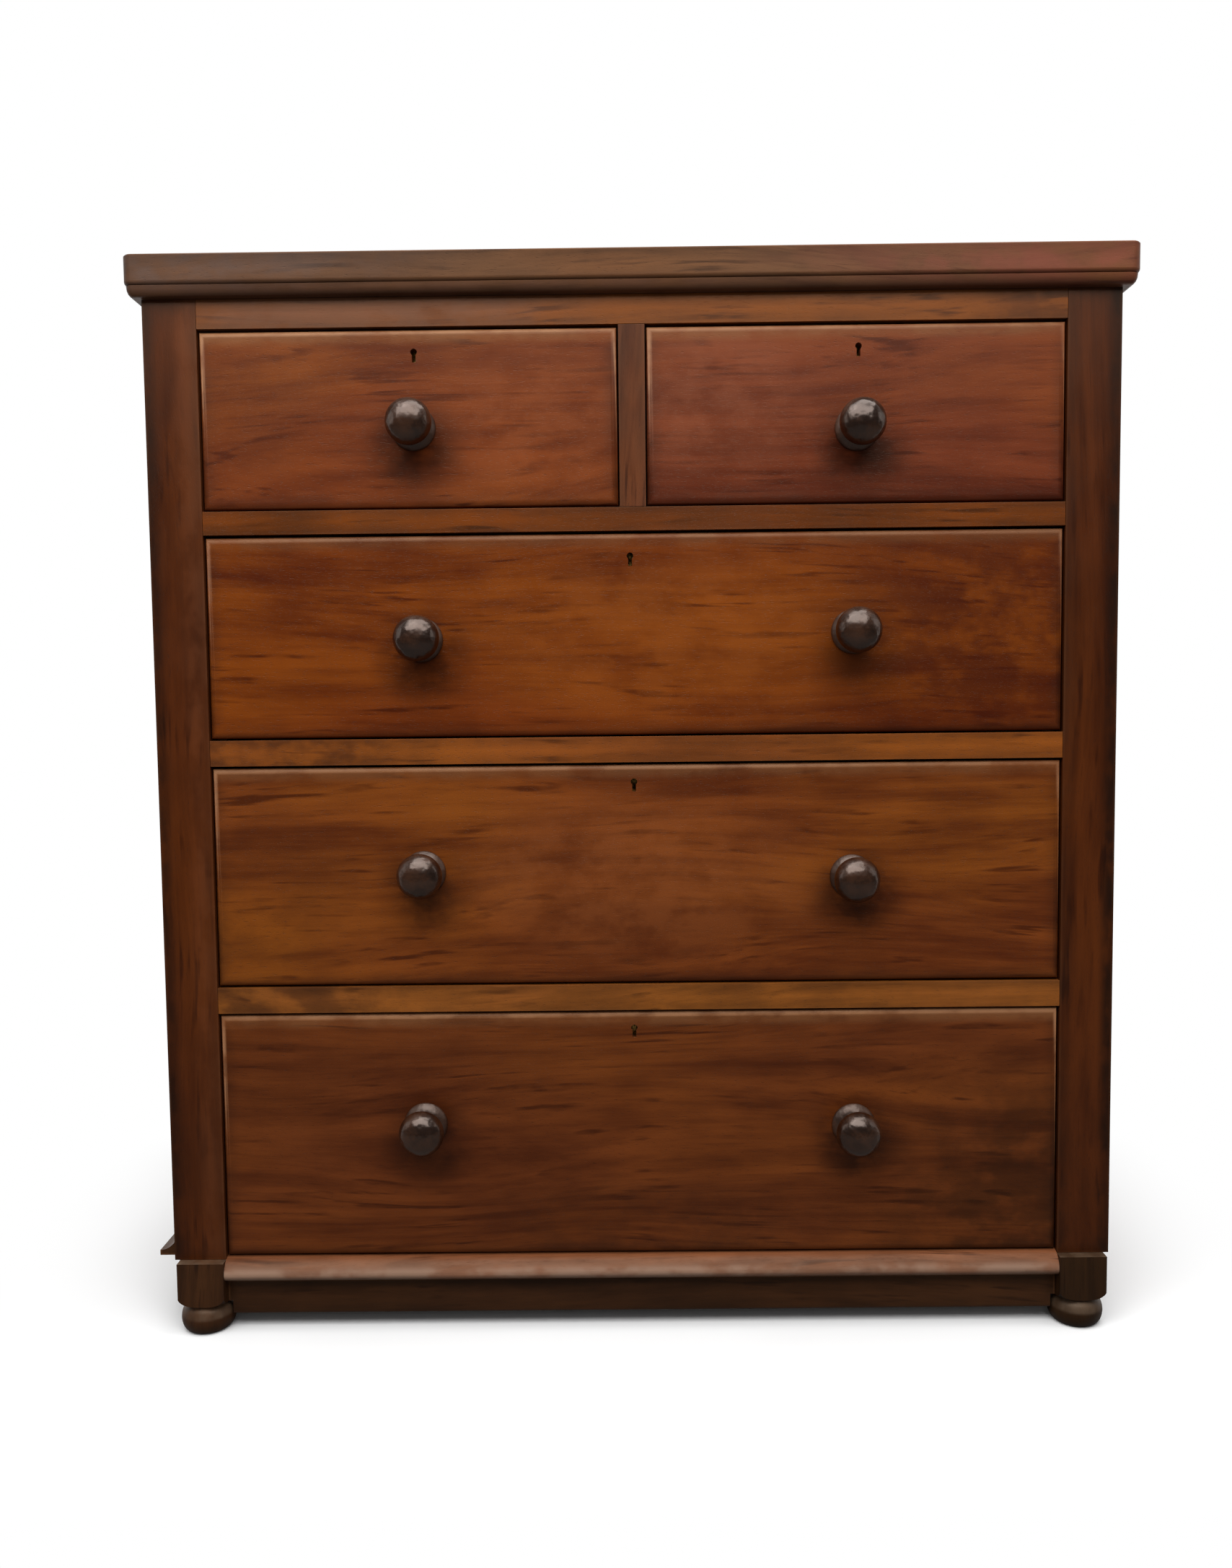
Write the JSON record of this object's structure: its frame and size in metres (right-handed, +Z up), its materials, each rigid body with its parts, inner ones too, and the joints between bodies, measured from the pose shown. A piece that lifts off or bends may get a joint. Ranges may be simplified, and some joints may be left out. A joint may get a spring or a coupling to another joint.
{
  "type": "chest of drawers",
  "caption": "Upright mahogany chest with short drawers side by side over full width ones, turned wooden knobs, keyholes, a moulded top and bun feet under square corner blocks.",
  "frame": {"origin": "on the floor, at the middle of the overall bounding box", "axes": "+Z up, -Y the way the drawers face and slide out, +X to the right of a viewer who stands in front"},
  "size_m": [1.149, 0.562, 1.251],
  "materials": {
    "mahogany": "polished reddish brown mahogany, straight grain",
    "top": "polished mahogany, a little faded, grain along its length",
    "drawer_front": "polished mahogany with dark streaks, grain across the width",
    "base": "very dark stained and polished wood",
    "knob": "nearly black polished turned wood",
    "pine": "bare aged softwood",
    "lock": "dull old brass"
  },
  "bodies": {
    "case": {"top_board": "top", "stile_left": "mahogany", "stile_right": "mahogany", "side_left": "mahogany", "side_right": "mahogany", "back_panel": "pine", "top_rail": "mahogany", "rail_1": "mahogany", "rail_2": "mahogany", "rail_3": "mahogany", "drawer_divider": "mahogany", "dust_board_1": "pine", "dust_board_2": "pine", "dust_board_3": "pine", "centre_guide": "pine", "bottom_board": "mahogany", "plinth_rail": "base", "front_foot_left": "base", "front_foot_right": "base", "rear_foot_left": "base", "rear_foot_right": "base", "side_moulding_left": "base"},
    "short_drawer_left": {"short_drawer_left_front": "drawer_front", "short_drawer_left_side_left": "pine", "short_drawer_left_side_right": "pine", "short_drawer_left_back": "pine", "short_drawer_left_bottom": "pine", "short_drawer_left_lock": "lock", "short_drawer_left_knob": "knob"},
    "short_drawer_right": {"short_drawer_right_front": "drawer_front", "short_drawer_right_side_left": "pine", "short_drawer_right_side_right": "pine", "short_drawer_right_back": "pine", "short_drawer_right_bottom": "pine", "short_drawer_right_lock": "lock", "short_drawer_right_knob": "knob"},
    "upper_drawer": {"upper_drawer_front": "drawer_front", "upper_drawer_side_left": "pine", "upper_drawer_side_right": "pine", "upper_drawer_back": "pine", "upper_drawer_bottom": "pine", "upper_drawer_lock": "lock", "upper_drawer_knob_left": "knob", "upper_drawer_knob_right": "knob"},
    "middle_drawer": {"middle_drawer_front": "drawer_front", "middle_drawer_side_left": "pine", "middle_drawer_side_right": "pine", "middle_drawer_back": "pine", "middle_drawer_bottom": "pine", "middle_drawer_lock": "lock", "middle_drawer_knob_left": "knob", "middle_drawer_knob_right": "knob"},
    "lower_drawer": {"lower_drawer_front": "drawer_front", "lower_drawer_side_left": "pine", "lower_drawer_side_right": "pine", "lower_drawer_back": "pine", "lower_drawer_bottom": "pine", "lower_drawer_lock": "lock", "lower_drawer_knob_left": "knob", "lower_drawer_knob_right": "knob"}
  },
  "joints": [
    {"name": "short_drawer_left_slide", "type": "slide", "parent": "case", "child": "short_drawer_left", "axis": [0, -1, 0], "range_m": [0, 0.38]},
    {"name": "short_drawer_right_slide", "type": "slide", "parent": "case", "child": "short_drawer_right", "axis": [0, -1, 0], "range_m": [0, 0.38]},
    {"name": "upper_drawer_slide", "type": "slide", "parent": "case", "child": "upper_drawer", "axis": [0, -1, 0], "range_m": [0, 0.38]},
    {"name": "middle_drawer_slide", "type": "slide", "parent": "case", "child": "middle_drawer", "axis": [0, -1, 0], "range_m": [0, 0.38]},
    {"name": "lower_drawer_slide", "type": "slide", "parent": "case", "child": "lower_drawer", "axis": [0, -1, 0], "range_m": [0, 0.38]}
  ]
}
